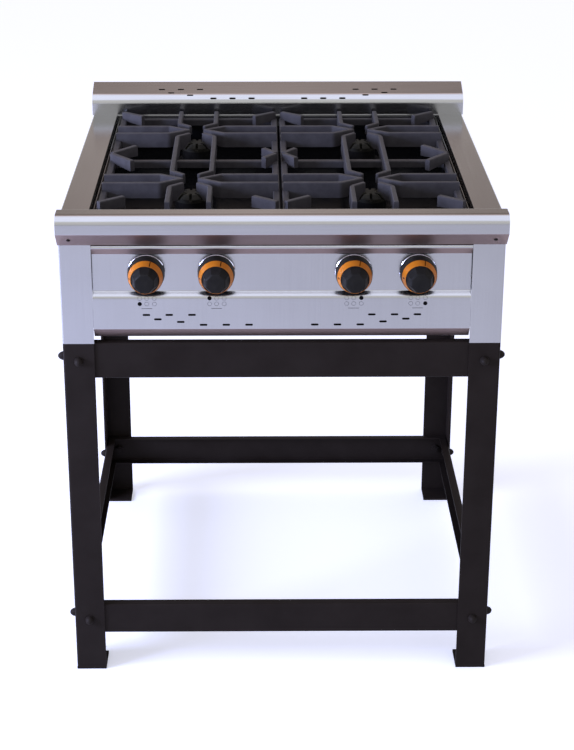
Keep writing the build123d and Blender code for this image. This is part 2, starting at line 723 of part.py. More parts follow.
def fork_prong(side, row, root):
    """A bar from the grate's end, or its middle, that bends in towards a burner."""
    centre = row * BURNER_PITCH / 2
    towards_root = 1 if root > centre else -1
    neck = centre + towards_root * FORK_NECK
    tip = (side * FORK_TIP_ACROSS, centre + towards_root * FORK_TIP_ALONG)
    return bar_run([(side * FORK_HALF, root), (side * FORK_HALF, neck), tip])


def burner():
    """Cast burner: head on a flange, flared throat, and a yoke that holds the injector."""
    flange_top = COLLAR_TOP + BURNER_FLANGE_HEIGHT
    head_inner = BURNER_HEAD_RADIUS - BURNER_WALL
    profile = Polyline(
        (THROAT_RADIUS, flange_top),
        (head_inner, flange_top),
        (head_inner, HEAD_TOP),
        (BURNER_HEAD_RADIUS, HEAD_TOP),
        (BURNER_HEAD_RADIUS, flange_top),
        (BURNER_FLANGE_RADIUS, flange_top),
        (BURNER_FLANGE_RADIUS, COLLAR_TOP),
        (THROAT_OUTER, COLLAR_TOP),
        (THROAT_OUTER, MOUTH_BOTTOM + MOUTH_HEIGHT),
        (MOUTH_OUTER, MOUTH_BOTTOM),
        (MOUTH_OUTER - BURNER_WALL, MOUTH_BOTTOM),
        (THROAT_RADIUS, MOUTH_BOTTOM + MOUTH_HEIGHT),
        close=True,
    )
    body = revolve(Plane.XZ * make_face(profile), axis=Axis.Z)
    ring = disc(MOUTH_OUTER, YOKE_BOTTOM, YOKE_BOTTOM + YOKE_HEIGHT)
    ring -= disc(JET_RADIUS, YOKE_BOTTOM, YOKE_BOTTOM + YOKE_HEIGHT)
    strap_x = (MOUTH_OUTER - BURNER_WALL, MOUTH_OUTER)
    strap = block(strap_x, (-YOKE_WIDTH / 2, YOKE_WIDTH / 2), (YOKE_BOTTOM, MOUTH_BOTTOM + MOUTH_HEIGHT / 2))
    strap = strap & disc(MOUTH_OUTER, YOKE_BOTTOM, MOUTH_BOTTOM + MOUTH_HEIGHT)
    return body + ring + strap + mirrored(strap)


def burner_cap():
    """Loose cap with long flame ports cut in from its rim, located by a spigot inside the head."""
    spigot_radius = BURNER_HEAD_RADIUS - BURNER_WALL - CAP_FIT
    top = HEAD_TOP + CAP_HEIGHT
    profile = Polyline(
        (0, HEAD_TOP - CAP_SPIGOT),
        (spigot_radius, HEAD_TOP - CAP_SPIGOT),
        (spigot_radius, HEAD_TOP),
        (BURNER_HEAD_RADIUS, HEAD_TOP),
        (BURNER_HEAD_RADIUS, top - CAP_HEIGHT / 2),
        (CAP_TOP_RADIUS, top),
        (0, top),
        close=True,
    )
    cap = revolve(Plane.XZ * make_face(profile), axis=Axis.Z)
    port_x = (BURNER_HEAD_RADIUS - PORT_LENGTH, BURNER_HEAD_RADIUS)
    port = block(port_x, (-PORT_WIDTH / 2, PORT_WIDTH / 2), (top - PORT_HEIGHT, top))
    return cap - [Rotation(0, 0, index * 360 / PORT_COUNT) * port for index in range(PORT_COUNT)]


def injector():
    """Brass elbow with its jet up in the burner's yoke and its inlet towards the front."""
    seat = YOKE_BOTTOM
    bottom = KNOB_Z - ELBOW_RADIUS
    elbow = disc(ELBOW_RADIUS, bottom, seat) + disc(JET_RADIUS, bottom, seat + JET_RISE)
    inlet = Plane((0, 0, KNOB_Z), z_dir=(0, -1, 0))
    return elbow + inlet * disc(JET_RADIUS, 0, ELBOW_LENGTH)


def tap_outlet():
    """Depth of the end of the tap's outlet neck."""
    return PANEL_RECESS + TAP_FRONT + BONNET_LENGTH + TAP_LENGTH + TAP_NECK_LENGTH


def supply_tube(knob_x, burner_x, burner_y):
    """Gas tube straight back from its tap, across, and into the injector's inlet."""
    end = burner_y - ELBOW_LENGTH
    crossing_end = end - TUBE_LEAD
    points = [
        (knob_x, tap_outlet(), KNOB_Z),
        (knob_x, crossing_end - TUBE_CROSSING, KNOB_Z),
        (burner_x, crossing_end, KNOB_Z),
        (burner_x, end, KNOB_Z),
    ]
    path = FilletPolyline(*points, radius=TUBE_BEND)
    return sweep(Plane(points[0], z_dir=(0, 1, 0)) * Circle(TUBE_RADIUS), path=path)


def gas_manifold():
    """Supply pipe across the hob, with a boss for each tap and a tee for the inlet."""
    along = Plane((0, MANIFOLD_SETBACK, MANIFOLD_Z), z_dir=(1, 0, 0))
    rearwards = Plane((TEE_X, MANIFOLD_SETBACK, MANIFOLD_Z), z_dir=(0, 1, 0))
    pipe = along * disc(MANIFOLD_RADIUS, -MANIFOLD_HALF, MANIFOLD_HALF)
    pipe += rearwards * disc(TEE_RADIUS, 0, TEE_LENGTH)
    bosses = [Pos(x, MANIFOLD_SETBACK, MANIFOLD_Z) for x in KNOB_X]
    for place in bosses:
        pipe += place * disc(BOSS_RADIUS, 0, BOSS_HEIGHT)
    bore_half = MANIFOLD_HALF - MANIFOLD_END
    pipe -= along * disc(MANIFOLD_RADIUS - MANIFOLD_WALL, -bore_half, bore_half)
    pipe -= rearwards * disc(MANIFOLD_RADIUS - MANIFOLD_WALL, 0, TEE_LENGTH)
    for place in bosses:
        pipe -= place * disc(GAS_PORT_RADIUS, 0, BOSS_HEIGHT)
    return pipe


def gas_inlet_pipe():
    """Pipe from the manifold's tee through the rear panel to a threaded end."""
    start = MANIFOLD_SETBACK + TEE_LENGTH
    end = REAR - INLET_SETBACK
    plane = Plane((TEE_X, 0, MANIFOLD_Z), z_dir=(0, 1, 0))
    pipe = disc(MANIFOLD_RADIUS, start, end - INLET_THREAD_LENGTH)
    pipe += disc(INLET_THREAD_RADIUS, end - INLET_THREAD_LENGTH, end)
    return plane * (pipe - disc(MANIFOLD_RADIUS - MANIFOLD_WALL, start, end))


def manifold_bracket():
    """Plate round the right end of the manifold, with a foot on the back of the post."""
    inner = HALF - POST_WIDTH + SEAM_GAP
    half = BRACKET_WIDTH / 2
    height = (MANIFOLD_Z - half, MANIFOLD_Z + half)
    rear = MANIFOLD_SETBACK + MANIFOLD_RADIUS + BRACKET_MARGIN
    plate = block((inner, inner + BRACKET_SHEET), (SHEET, rear), height)
    plate += block((inner, inner + BRACKET_FOOT), (SHEET, SHEET + BRACKET_SHEET), height)
    hole = Plane((inner, MANIFOLD_SETBACK, MANIFOLD_Z), z_dir=(1, 0, 0))
    return plate - hole * disc(MANIFOLD_RADIUS, 0, BRACKET_SHEET)


def gas_tap():
    """Brass tap: bonnet with a bore for the spring cap, body, outlet neck and inlet leg."""
    bonnet_bore = SPRING_CAP_RADIUS + RUNNING_CLEARANCE
    bonnet_end = -TAP_FRONT - BONNET_LENGTH
    body_end = bonnet_end - TAP_LENGTH
    tap = disc(bonnet_bore + BONNET_WALL, bonnet_end, -TAP_FRONT)
    tap += disc(TAP_RADIUS, body_end, bonnet_end)
    tap += disc(TAP_NECK_RADIUS, body_end - TAP_NECK_LENGTH, body_end)
    leg = Plane((0, 0, PANEL_RECESS - MANIFOLD_SETBACK), x_dir=(1, 0, 0), z_dir=(0, -1, 0))
    tap += leg * disc(TAP_INLET_RADIUS, 0, MANIFOLD_DROP - BOSS_HEIGHT)
    tap -= disc(bonnet_bore, bonnet_end, -TAP_FRONT)
    pocket_end = -SPINDLE_BEHIND - SPINDLE_POCKET
    return tap - disc(SPINDLE_RADIUS + RUNNING_CLEARANCE, pocket_end, bonnet_end)


def spring_cap():
    """Thrust ring that slides in the tap's bonnet and carries the turning spindle."""
    front = -TAP_FRONT - SPRING_CAP_DEPTH
    ring = disc(SPRING_CAP_RADIUS, front - SPRING_CAP_LENGTH, front)
    return ring - disc(SPINDLE_RADIUS + RUNNING_CLEARANCE, front - SPRING_CAP_LENGTH, front)


def knob_levels():
    """Heights of the skirt's back, the dial ring's two edges and the tip of the grip."""
    dial = KNOB_GAP + SKIRT_LENGTH
    return KNOB_GAP, dial, dial + DIAL_LENGTH, dial + DIAL_LENGTH + GRIP_LENGTH


def spindle():
    """Tap spindle: round in the tap, flatted inside the knob, with a collar on the spring cap."""
    back, dial, _, _ = knob_levels()
    collar_back = -TAP_FRONT - SPRING_CAP_DEPTH + RUNNING_CLEARANCE
    shaft = disc(SPINDLE_RADIUS, -SPINDLE_BEHIND, dial)
    shaft += disc(SPINDLE_COLLAR_RADIUS, collar_back, collar_back + SPINDLE_COLLAR_LENGTH)
    flat_y = (SPINDLE_RADIUS - SPINDLE_FLAT, SPINDLE_RADIUS)
    return shaft - block((-SPINDLE_RADIUS, SPINDLE_RADIUS), flat_y, (back, dial))


def knob():
    """Moulded knob: hollow skirt with a hub on the spindle, a seat for the dial, and a faceted grip."""
    back, dial, grip_root, tip = knob_levels()
    skirt = Cone(SKIRT_RADIUS, SKIRT_RADIUS - SKIRT_DRAFT, SKIRT_LENGTH)
    body = Pos(0, 0, (back + dial) / 2) * skirt + disc(GRIP_RADIUS, dial, grip_root)
    flat_turn = Rotation(0, 0, 180 / GRIP_SIDES)
    root_face = Pos(0, 0, grip_root) * flat_turn * RegularPolygon(GRIP_RADIUS, GRIP_SIDES)
    tip_face = Pos(0, 0, tip) * flat_turn * RegularPolygon(GRIP_TIP_RADIUS, GRIP_SIDES)
    grip = loft([root_face, tip_face])
    body += chamfer(grip.faces().sort_by(Axis.Z)[-1].edges(), GRIP_EDGE)
    cavity_radius = SKIRT_RADIUS - SKIRT_DRAFT - SKIRT_WALL
    cavity = disc(cavity_radius, back, dial - SKIRT_WALL) - disc(HUB_RADIUS, back, dial)
    return body - cavity - spindle()


def dial_ring():
    """Conical ring with the dial marks, seated on the front of the skirt."""
    _, dial, front, _ = knob_levels()
    outer = SKIRT_RADIUS - SKIRT_DRAFT - DIAL_INSET
    cone = Pos(0, 0, (dial + front) / 2) * Cone(outer, GRIP_RADIUS + DIAL_INSET, DIAL_LENGTH)
    return cone - disc(GRIP_RADIUS, dial, front)


def knob_bezel():
    """Polished disc on the panel behind a knob, with a bevelled edge."""
    plate = disc(KNOB_BAND / 2 - BEZEL_MARGIN, 0, BEZEL_SHEET)
    plate = chamfer(plate.faces().sort_by(Axis.Z)[-1].edges(), BEZEL_EDGE)
    return plate - disc(spindle_hole_radius(), 0, BEZEL_SHEET)


def build_body():
    casing = left_casing()
    save("side_casing_left", casing)
    save("side_casing_right", mirrored(casing))
    save("front_nosing", front_nosing())
    save("control_panel", control_panel())
    save("backguard", backguard())
    save("vent_baffle_front", front_baffle())
    save("vent_baffle_rear", rear_baffle())
    save("rear_panel", rear_panel())
    save("spill_pan", spill_pan())
    fastener = group([casing_bolt(), casing_nut()])
    save("casing_bolts", group([place * fastener for place in casing_bolt_places()]))


def build_cooking_top():
    casting = Pos(GRATE_X, GRATE_Y, RIM_TOP) * right_grate()
    save("grate_left", mirrored(casting))
    save("grate_right", casting)
    body = burner()
    cap = burner_cap()
    for name, (x, y) in BURNERS.items():
        save(f"burner_{name}", Pos(x, y, 0) * body)
        save(f"burner_cap_{name}", Pos(x, y, 0) * cap)


def build_gas_train():
    save("gas_manifold", gas_manifold())
    save("gas_inlet_pipe", gas_inlet_pipe())
    bracket = manifold_bracket()
    save("manifold_brackets", group([bracket, mirrored(bracket)]))
    save("injectors", group([Pos(x, y, 0) * injector() for x, y in BURNERS.values()]))
    save("supply_tubes", group([supply_tube(KNOBS[name], x, y) for name, (x, y) in BURNERS.items()]))
    for name, x in KNOBS.items():
        save(f"gas_tap_{name}", knob_plane(x) * gas_tap())


def build_controls():
    save("knob_bezels", group([knob_plane(x) * knob_bezel() for x in KNOB_X]))
    pieces = {"spring_cap": spring_cap(), "spindle": spindle(), "knob": knob(), "dial_ring": dial_ring()}
    for name, x in KNOBS.items():
        for piece_name, piece in pieces.items():
            save(f"{piece_name}_{name}", knob_plane(x) * piece)


os.makedirs("parts", exist_ok=True)
build_stand()
build_body()
build_cooking_top()
build_gas_train()
build_controls()
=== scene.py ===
import json
import math

import bmesh
import bpy
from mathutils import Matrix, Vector


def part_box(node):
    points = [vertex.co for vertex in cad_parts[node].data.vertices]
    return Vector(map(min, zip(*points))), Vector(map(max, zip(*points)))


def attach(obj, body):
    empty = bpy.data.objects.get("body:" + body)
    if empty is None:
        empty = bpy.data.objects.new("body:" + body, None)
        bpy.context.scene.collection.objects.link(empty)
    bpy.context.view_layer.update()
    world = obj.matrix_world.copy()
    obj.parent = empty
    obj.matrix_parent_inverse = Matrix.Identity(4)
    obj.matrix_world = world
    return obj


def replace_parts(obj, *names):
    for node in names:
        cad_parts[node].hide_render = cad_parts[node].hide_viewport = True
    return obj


# Looks of a free-standing gas hob: brushed stainless body, cast grates and a black painted stand.
# Metres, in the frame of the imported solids.

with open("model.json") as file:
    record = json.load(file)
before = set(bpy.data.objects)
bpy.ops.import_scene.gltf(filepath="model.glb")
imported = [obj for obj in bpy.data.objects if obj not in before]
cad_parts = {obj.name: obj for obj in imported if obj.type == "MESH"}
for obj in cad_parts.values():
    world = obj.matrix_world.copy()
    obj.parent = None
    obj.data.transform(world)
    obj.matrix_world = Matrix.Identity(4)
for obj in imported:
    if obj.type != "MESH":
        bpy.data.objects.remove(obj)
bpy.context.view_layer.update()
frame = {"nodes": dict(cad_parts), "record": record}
NODES = frame["nodes"]
SLOT_OF = {part["node"]: part["material_slot"] for part in frame["record"]["subparts"]}
CORNERS = ("front_left", "rear_left", "rear_right", "front_right")
MM = 0.001


# Nodes and colours

# A noise pattern keeps mostly within this span
USUAL_SPAN = {"From Min": 0.3, "From Max": 0.7}
# How broken the edges of its patches are, and how much detail they have
PATCH_EDGES = 0.55
SOFT = 2.0
PLAIN = 3.0
FINE = 4.0


def linear(code):
    """An sRGB hex colour as linear red, green, blue and alpha."""
    shares = [int(code[start:start + 2], 16) / 255 for start in (1, 3, 5)]
    return [s / 12.92 if s <= 0.04045 else ((s + 0.055) / 1.055) ** 2.4 for s in shares] + [1.0]


def per(size_mm):
    """Pattern scale at which one feature is this many millimetres."""
    return 1 / (size_mm * MM)


def add(tree, kind, inputs=(), **settings):
    """Add a node with its settings, and give each named or numbered input a value or a link.

    The inputs of a Mix node share their names, so they are numbered: 0 is the share, 2 and 3 are the
    numbers to mix, and 6 and 7 the colours.
    """
    node = tree.nodes.new(kind)
    for name, value in settings.items():
        setattr(node, name, value)
    for name, value in dict(inputs).items():
        socket = node.inputs[name]
        if isinstance(value, bpy.types.NodeSocket):
            tree.links.new(value, socket)
        else:
            socket.default_value = value
    return node


def start_finish(name, **values):
    """A new material with constant values on its shader, and its Object coordinates."""
    finish = bpy.data.materials.new(name)
    finish.use_nodes = True
    tree = finish.node_tree
    shader = tree.nodes["Principled BSDF"]
    for label, value in values.items():
        shader.inputs[label.replace("_", " ")].default_value = value
    place = add(tree, "ShaderNodeTexCoord").outputs["Object"]
    return finish, tree, shader, place


def patterned(name, tone, roughness, relief=None, **values):
    """A finish whose colour, roughness and relief follow soft random patches.

    Each starts with the size of its patches in millimetres and their detail. The tone then has a dark
    and a light colour, the roughness its least and most, and the relief a depth in millimetres and a
    strength.
    """
    finish, tree, shader, place = start_finish(name, **values)
    *_, dark, light = tone
    *_, smooth, rough = roughness
    patches = []
    for size_mm, detail, *_ in filter(None, (tone, roughness, relief)):
        noise = {"Vector": place, "Scale": per(size_mm), "Detail": detail, "Roughness": PATCH_EDGES}
        patches.append(add(tree, "ShaderNodeTexNoise", noise).outputs["Fac"])
    share = add(tree, "ShaderNodeMapRange", {"Value": patches[0], **USUAL_SPAN}).outputs["Result"]
    tones = {0: share, 6: linear(dark), 7: linear(light)}
    colour = add(tree, "ShaderNodeMix", tones, data_type="RGBA").outputs[2]
    tree.links.new(colour, shader.inputs["Base Color"])
    span = {"Value": patches[1], **USUAL_SPAN, "To Min": smooth, "To Max": rough}
    tree.links.new(add(tree, "ShaderNodeMapRange", span).outputs["Result"], shader.inputs["Roughness"])
    if relief:
        *_, depth_mm, strength = relief
        bump = {"Height": patches[2], "Distance": depth_mm * MM, "Strength": strength}
        tree.links.new(add(tree, "ShaderNodeBump", bump).outputs["Normal"], shader.inputs["Normal"])
    return finish


# Finishes

# Grain and smudges of the sheet, in millimetres
GRAIN_WIDTH = 1.1
GRAIN_LENGTH = 150.0
GRAIN_DEPTH = 0.02
SMUDGE_SIZE = 140.0

# Its tones, and how rough it is
GRAIN_STRENGTH = 0.13
SHADE_SPAN = {"From Min": 0.7, "From Max": 1.3}
UNSHADED_SHEET = ("#9b9b9b", "#a2a2a2")
# Tone of downward faces: painted shade, browner and darker, standing in for the shaded floor that they
# reflect
SHADED_UNDERSIDE_SHEET = ("#85746f", "#8d7c76")
UNDERSIDE_DULLING = 0.22
BRUSHED = (0.17, 0.21)
BRUSHED_PANEL = (0.21, 0.24)

# How far a face is turned to the front or rear where its grain starts to change and has changed,
# and downwards where its painted shade starts and is full
FRONT_TURN = {"From Min": 0.5, "From Max": 0.8}
UNDER_TURN = {"From Min": -0.15, "From Max": -0.5}


def streaks(tree, place, along):
    """Long narrow streaks along one axis."""
    scale = [per(GRAIN_LENGTH if axis == along else GRAIN_WIDTH) for axis in "XYZ"]
    stretched = add(tree, "ShaderNodeVectorMath", {0: place, 1: scale}, operation="MULTIPLY").outputs[0]
    noise = {"Vector": stretched, "Scale": 1.0, "Detail": FINE}
    return add(tree, "ShaderNodeTexNoise", noise).outputs["Fac"]


def brushed_sheet(name, along, along_front, roughness):
    """Rolled stainless sheet, brushed one way: soft, slightly streaked reflections.

    Faces turned to the front or rear may have another grain than the rest of the folded sheet.
    Undersides are painted browner and darker, as painted shade standing in for the shaded floor that they
    reflect, and are made rougher.
    The real grain is about 0.2 mm wide, too fine to show, so the streaks are drawn wider.
    """
    finish, tree, shader, place = start_finish(name, Metallic=1.0)
    normal = add(tree, "ShaderNodeNewGeometry").outputs["Normal"]
    facing = add(tree, "ShaderNodeSeparateXYZ", {0: normal}).outputs
    grain = streaks(tree, place, along)
    if along_front != along:
        turn = add(tree, "ShaderNodeMath", {0: facing["Y"]}, operation="ABSOLUTE").outputs[0]
        share = add(tree, "ShaderNodeMapRange", {"Value": turn, **FRONT_TURN}).outputs["Result"]
        grains = {0: share, 2: grain, 3: streaks(tree, place, along_front)}
        grain = add(tree, "ShaderNodeMix", grains).outputs[0]
    noise = {"Vector": place, "Scale": per(SMUDGE_SIZE), "Detail": SOFT, "Roughness": PATCH_EDGES}
    smudge = add(tree, "ShaderNodeTexNoise", noise).outputs["Fac"]
    both = add(tree, "ShaderNodeMath", {0: grain, 1: smudge}, operation="ADD").outputs[0]
    shade = add(tree, "ShaderNodeMapRange", {"Value": both, **SHADE_SPAN}).outputs["Result"]
    # Share of painted shade: 0 on faces turned up or sideways, 1 on faces turned well down
    under = add(tree, "ShaderNodeMapRange", {"Value": facing["Z"], **UNDER_TURN}).outputs["Result"]
    tones = []
    for dark, light in (UNSHADED_SHEET, SHADED_UNDERSIDE_SHEET):
        shades = {0: shade, 6: linear(dark), 7: linear(light)}
        tones.append(add(tree, "ShaderNodeMix", shades, data_type="RGBA").outputs[2])
    # Downward faces take the painted shade tone
    colour = add(tree, "ShaderNodeMix", {0: under, 6: tones[0], 7: tones[1]}, data_type="RGBA").outputs[2]
    tree.links.new(colour, shader.inputs["Base Color"])
    span = {"Value": grain, **USUAL_SPAN, "To Min": roughness[0], "To Max": roughness[1]}
    grain_rough = add(tree, "ShaderNodeMapRange", span).outputs["Result"]
    film = {0: under, 1: UNDERSIDE_DULLING, 2: grain_rough}
    dulled = add(tree, "ShaderNodeMath", film, operation="MULTIPLY_ADD").outputs[0]
    tree.links.new(dulled, shader.inputs["Roughness"])
    bump = {"Height": grain, "Distance": GRAIN_DEPTH * MM, "Strength": GRAIN_STRENGTH}
    tree.links.new(add(tree, "ShaderNodeBump", bump).outputs["Normal"], shader.inputs["Normal"])
    return finish


def polished_steel():
    """Spun stainless discs, polished bright with faint haze."""
    return patterned("polished_stainless", tone=(8.0, PLAIN, "#cbcbd6", "#d1d1dc"),
                     roughness=(8.0, PLAIN, 0.10, 0.18), Metallic=1.0)


def black_paint(name, dark, light):
    """Semi-matt black paint on steel: a faint orange-peel skin, a little uneven in its gloss."""
    return patterned(name, tone=(60.0, PLAIN, dark, light), roughness=(60.0, PLAIN, 0.42, 0.58),
                     relief=(3.0, SOFT, 0.12, 0.3), Specular_IOR_Level=0.05)


def black_enamel():
    """Vitreous enamel on pressed steel: deep black, glassy, slightly rippled from firing.

    Its specks are under 0.5 mm, too fine to show, so they are drawn larger.
    """
    return patterned("black_enamel", tone=(1.5, FINE, "#0a0b0c", "#141416"),
                     roughness=(22.0, SOFT, 0.14, 0.26), relief=(22.0, SOFT, 0.3, 0.25),
                     IOR=1.52, Specular_IOR_Level=0.015)


def cast_iron(name, dark, light, roughness, grit_mm, depth_mm, gloss):
    """Sand-cast iron: a grainy skin with soft patches of lighter and darker scale.

    The grit of the sand is about 0.5 mm, too fine to show, so it is drawn coarser.
    """
    return patterned(name, tone=(18.0, PLAIN, dark, light), roughness=(grit_mm, FINE, *roughness),
                     relief=(grit_mm, FINE, depth_mm, 0.6), Specular_IOR_Level=gloss)


def bare_metal(name, dark, light, roughness, patch_mm):
    """Bare or plated metal: tone and gloss wander a little over its surface."""
    return patterned(name, tone=(patch_mm, PLAIN, dark, light), roughness=(patch_mm, PLAIN, *roughness),
                     relief=(1.0, PLAIN, 0.03, 0.2), Metallic=1.0)


def moulded_plastic(name, dark, light, roughness, gloss):
    """Moulded plastic with a fine spark-eroded skin: an even colour and a soft shine.

    The skin's grain is about 0.1 mm, too fine to show, so it is drawn coarser.
    """
    return patterned(name, tone=(12.0, PLAIN, dark, light), roughness=(0.8, PLAIN, *roughness),
                     relief=(0.8, PLAIN, 0.03, 0.3), IOR=1.5, Specular_IOR_Level=gloss)


def printing_ink():
    """Screen-printed ink: a thin black film, almost even, with a faint wear."""
    return patterned("black_printing_ink", tone=(2.0, PLAIN, "#050506", "#0c0c0d"),
                     roughness=(2.0, PLAIN, 0.4, 0.55), IOR=1.5, Specular_IOR_Level=0.03)


SHEET = brushed_sheet("brushed_stainless_lengthwise", "X", "X", BRUSHED)
PANEL_SHEET = brushed_sheet("brushed_stainless_panel", "X", "Z", BRUSHED_PANEL)
SIDE_SHEET = brushed_sheet("brushed_stainless_sides", "Y", "Z", BRUSHED)
# Dull and almost black, from the flames
SOOTED_IRON = cast_iron("soot_black_cast_iron", "#0d0d0c", "#181614", (0.65, 0.8),
                        grit_mm=1.8, depth_mm=0.25, gloss=0.06)
# Nodes whose finish differs from that of their slot
OWN_FINISH = {"side_casing_left": SIDE_SHEET, "side_casing_right": SIDE_SHEET, "control_panel": PANEL_SHEET}
OWN_FINISH.update({"burner_" + corner: SOOTED_IRON for corner in CORNERS})
FINISHES = {
    "brushed_stainless": SHEET,
    "polished_stainless": polished_steel(),
    "black_painted_steel": black_paint("black_painted_steel", "#1e1916", "#241f1c"),
    "black_bolt_steel": black_paint("black_painted_bolts", "#1f1b18", "#25201d"),
    "black_enamel": black_enamel(),
    # A matt grey-black coat that follows the casting's skin
    "cast_grate_iron": cast_iron("enamelled_cast_iron", "#3f3d3e", "#494748", (0.34, 0.46),
                                 grit_mm=1.4, depth_mm=0.15, gloss=0.06),
    # Browned by heat, and rougher
    "cast_burner_iron": cast_iron("heat_darkened_cast_iron", "#1d1c17", "#2b2921", (0.55, 0.75),
                                  grit_mm=1.8, depth_mm=0.25, gloss=0.12),
    # Dull grey, as drawn
    "pipe_steel": bare_metal("drawn_steel_pipe", "#6b6b6f", "#7d7d82", (0.4, 0.55), patch_mm=14.0),
    # Pale and slightly cloudy
    "zinc_steel": bare_metal("zinc_plated_steel", "#a9acb2", "#c3c6cb", (0.3, 0.42), patch_mm=6.0),
    # Yellow, with a fairly clear shine from the lathe
    "tap_brass": bare_metal("turned_brass", "#b08d45", "#cfab5c", (0.22, 0.34), patch_mm=9.0),
    # Light grey with a satin sheen
    "tube_aluminium": bare_metal("drawn_aluminium", "#b9babd", "#cbccd0", (0.3, 0.42), patch_mm=10.0),
    # Black with a low, soft shine
    "black_knob_plastic": moulded_plastic("black_phenolic", "#1a1918", "#21201e", (0.34, 0.44), gloss=0.06),
    # An even orange, a little shinier than the knob
    "orange_dial_plastic": moulded_plastic("orange_printed_dial", "#b96a10", "#c27217", (0.32, 0.42),
                                           gloss=0.3),
}
INK = printing_ink()

for name, node in NODES.items():
    node.data.materials.clear()
    node.data.materials.append(OWN_FINISH.get(name, FINISHES[SLOT_OF[name]]))


# Geometry node trees

def start_tree(name, sizes, others=()):
    """A tree that takes a source mesh, named sizes and a finish; returns it with its inputs."""
    tree = bpy.data.node_groups.new(name, "GeometryNodeTree")
    sockets = {"Source": "Geometry", **dict.fromkeys(sizes, "Float"), **dict(others), "Finish": "Material"}
    for label, kind in sockets.items():
        tree.interface.new_socket(label, in_out="INPUT", socket_type="NodeSocket" + kind)
    tree.interface.new_socket("Result", in_out="OUTPUT", socket_type="NodeSocketGeometry")
    return tree, add(tree, "NodeGroupInput").outputs


def end_tree(tree, shape, finish):
    """Make copies real, give them the finish and hand them out."""
    real = add(tree, "GeometryNodeRealizeInstances", {"Geometry": shape}).outputs[0]
    painted = add(tree, "GeometryNodeSetMaterial", {"Geometry": real, "Material": finish}).outputs[0]
    add(tree, "NodeGroupOutput", {"Result": painted})
    return tree


def at_points(tree, points, shape):
    """A copy of a shape on each point, with its Z axis along the point's facing."""
    named = add(tree, "GeometryNodeInputNamedAttribute", {"Name": "facing"}, data_type="FLOAT_VECTOR")
    turn = add(tree, "FunctionNodeAlignRotationToVector", {"Vector": named.outputs["Attribute"]}, axis="Z")
    copies = {"Points": points, "Instance": shape, "Rotation": turn.outputs[0]}
    return add(tree, "GeometryNodeInstanceOnPoints", copies).outputs[0]


def domed_fasteners():
    """Round-headed bolts or screws, one on each point of the source.

    The head is a ball whose lower half is pressed flat, scaled to the head's radius and height.
    """
    sizes = ("Head radius", "Head height", "Shank radius", "Shank length")
    tree, given = start_tree("domed_fasteners", sizes)
    ball = add(tree, "GeometryNodeMeshUVSphere", {"Segments": 28, "Rings": 16, "Radius": 1.0}).outputs["Mesh"]
    place = add(tree, "GeometryNodeInputPosition").outputs[0]
    spot = add(tree, "ShaderNodeSeparateXYZ", {0: place}).outputs
    height = add(tree, "ShaderNodeMath", {0: spot["Z"], 1: 0.0}, operation="MAXIMUM").outputs[0]
    flattened = add(tree, "ShaderNodeCombineXYZ", {0: spot["X"], 1: spot["Y"], 2: height}).outputs[0]
    dome = add(tree, "GeometryNodeSetPosition", {"Geometry": ball, "Position": flattened}).outputs[0]
    normal = add(tree, "GeometryNodeInputNormal").outputs[0]
    facing = add(tree, "ShaderNodeSeparateXYZ", {0: normal}).outputs["Z"]
    upper = add(tree, "FunctionNodeCompare", {0: facing, 1: 0.0}, operation="GREATER_THAN").outputs[0]
    dome = add(tree, "GeometryNodeSetShadeSmooth", {0: dome, "Shade Smooth": upper}).outputs[0]
    extent = {0: given["Head radius"], 1: given["Head radius"], 2: given["Head height"]}
    head_size = add(tree, "ShaderNodeCombineXYZ", extent).outputs[0]
    head = add(tree, "GeometryNodeTransform", {"Geometry": dome, "Scale": head_size}).outputs[0]
    shank_size = {"Vertices": 20, "Radius": given["Shank radius"], "Depth": given["Shank length"]}
    shank = add(tree, "GeometryNodeMeshCylinder", shank_size).outputs["Mesh"]
    middle = add(tree, "ShaderNodeMath", {0: given["Shank length"], 1: -0.5}, operation="MULTIPLY").outputs[0]
    drop = add(tree, "ShaderNodeCombineXYZ", {2: middle}).outputs[0]
    shank = add(tree, "GeometryNodeTransform", {"Geometry": shank, "Translation": drop}).outputs[0]
    bolt = add(tree, "GeometryNodeJoinGeometry")
    for part in (head, shank):
        tree.links.new(part, bolt.inputs[0])
    return end_tree(tree, at_points(tree, given["Source"], bolt.outputs[0]), given["Finish"])


def wound_thread():
    """A screw thread's ridge, wound along the facing of each point of the source."""
    tree, given = start_tree("wound_thread", ("Root radius", "Ridge", "Pitch", "Length"))
    run = {0: given["Length"], 1: given["Pitch"]}
    turns = add(tree, "ShaderNodeMath", run, operation="DIVIDE").outputs[0]
    winding = {"Resolution": 48, "Rotations": turns, "Start Radius": given["Root radius"],
               "End Radius": given["Root radius"], "Height": given["Length"]}
    path = add(tree, "GeometryNodeCurveSpiral", winding).outputs[0]
    path = add(tree, "GeometryNodeSetCurveNormal", {0: path}, mode="Z_UP").outputs[0]
    section = {"Resolution": 4, "Radius": given["Ridge"]}
    profile = add(tree, "GeometryNodeCurvePrimitiveCircle", section).outputs[0]
    swept = {"Curve": path, "Profile Curve": profile, "Fill Caps": True}
    ridge = add(tree, "GeometryNodeCurveToMesh", swept).outputs[0]
    flat = add(tree, "GeometryNodeSetShadeSmooth", {0: ridge, "Shade Smooth": False}).outputs[0]
    return end_tree(tree, at_points(tree, given["Source"], flat), given["Finish"])


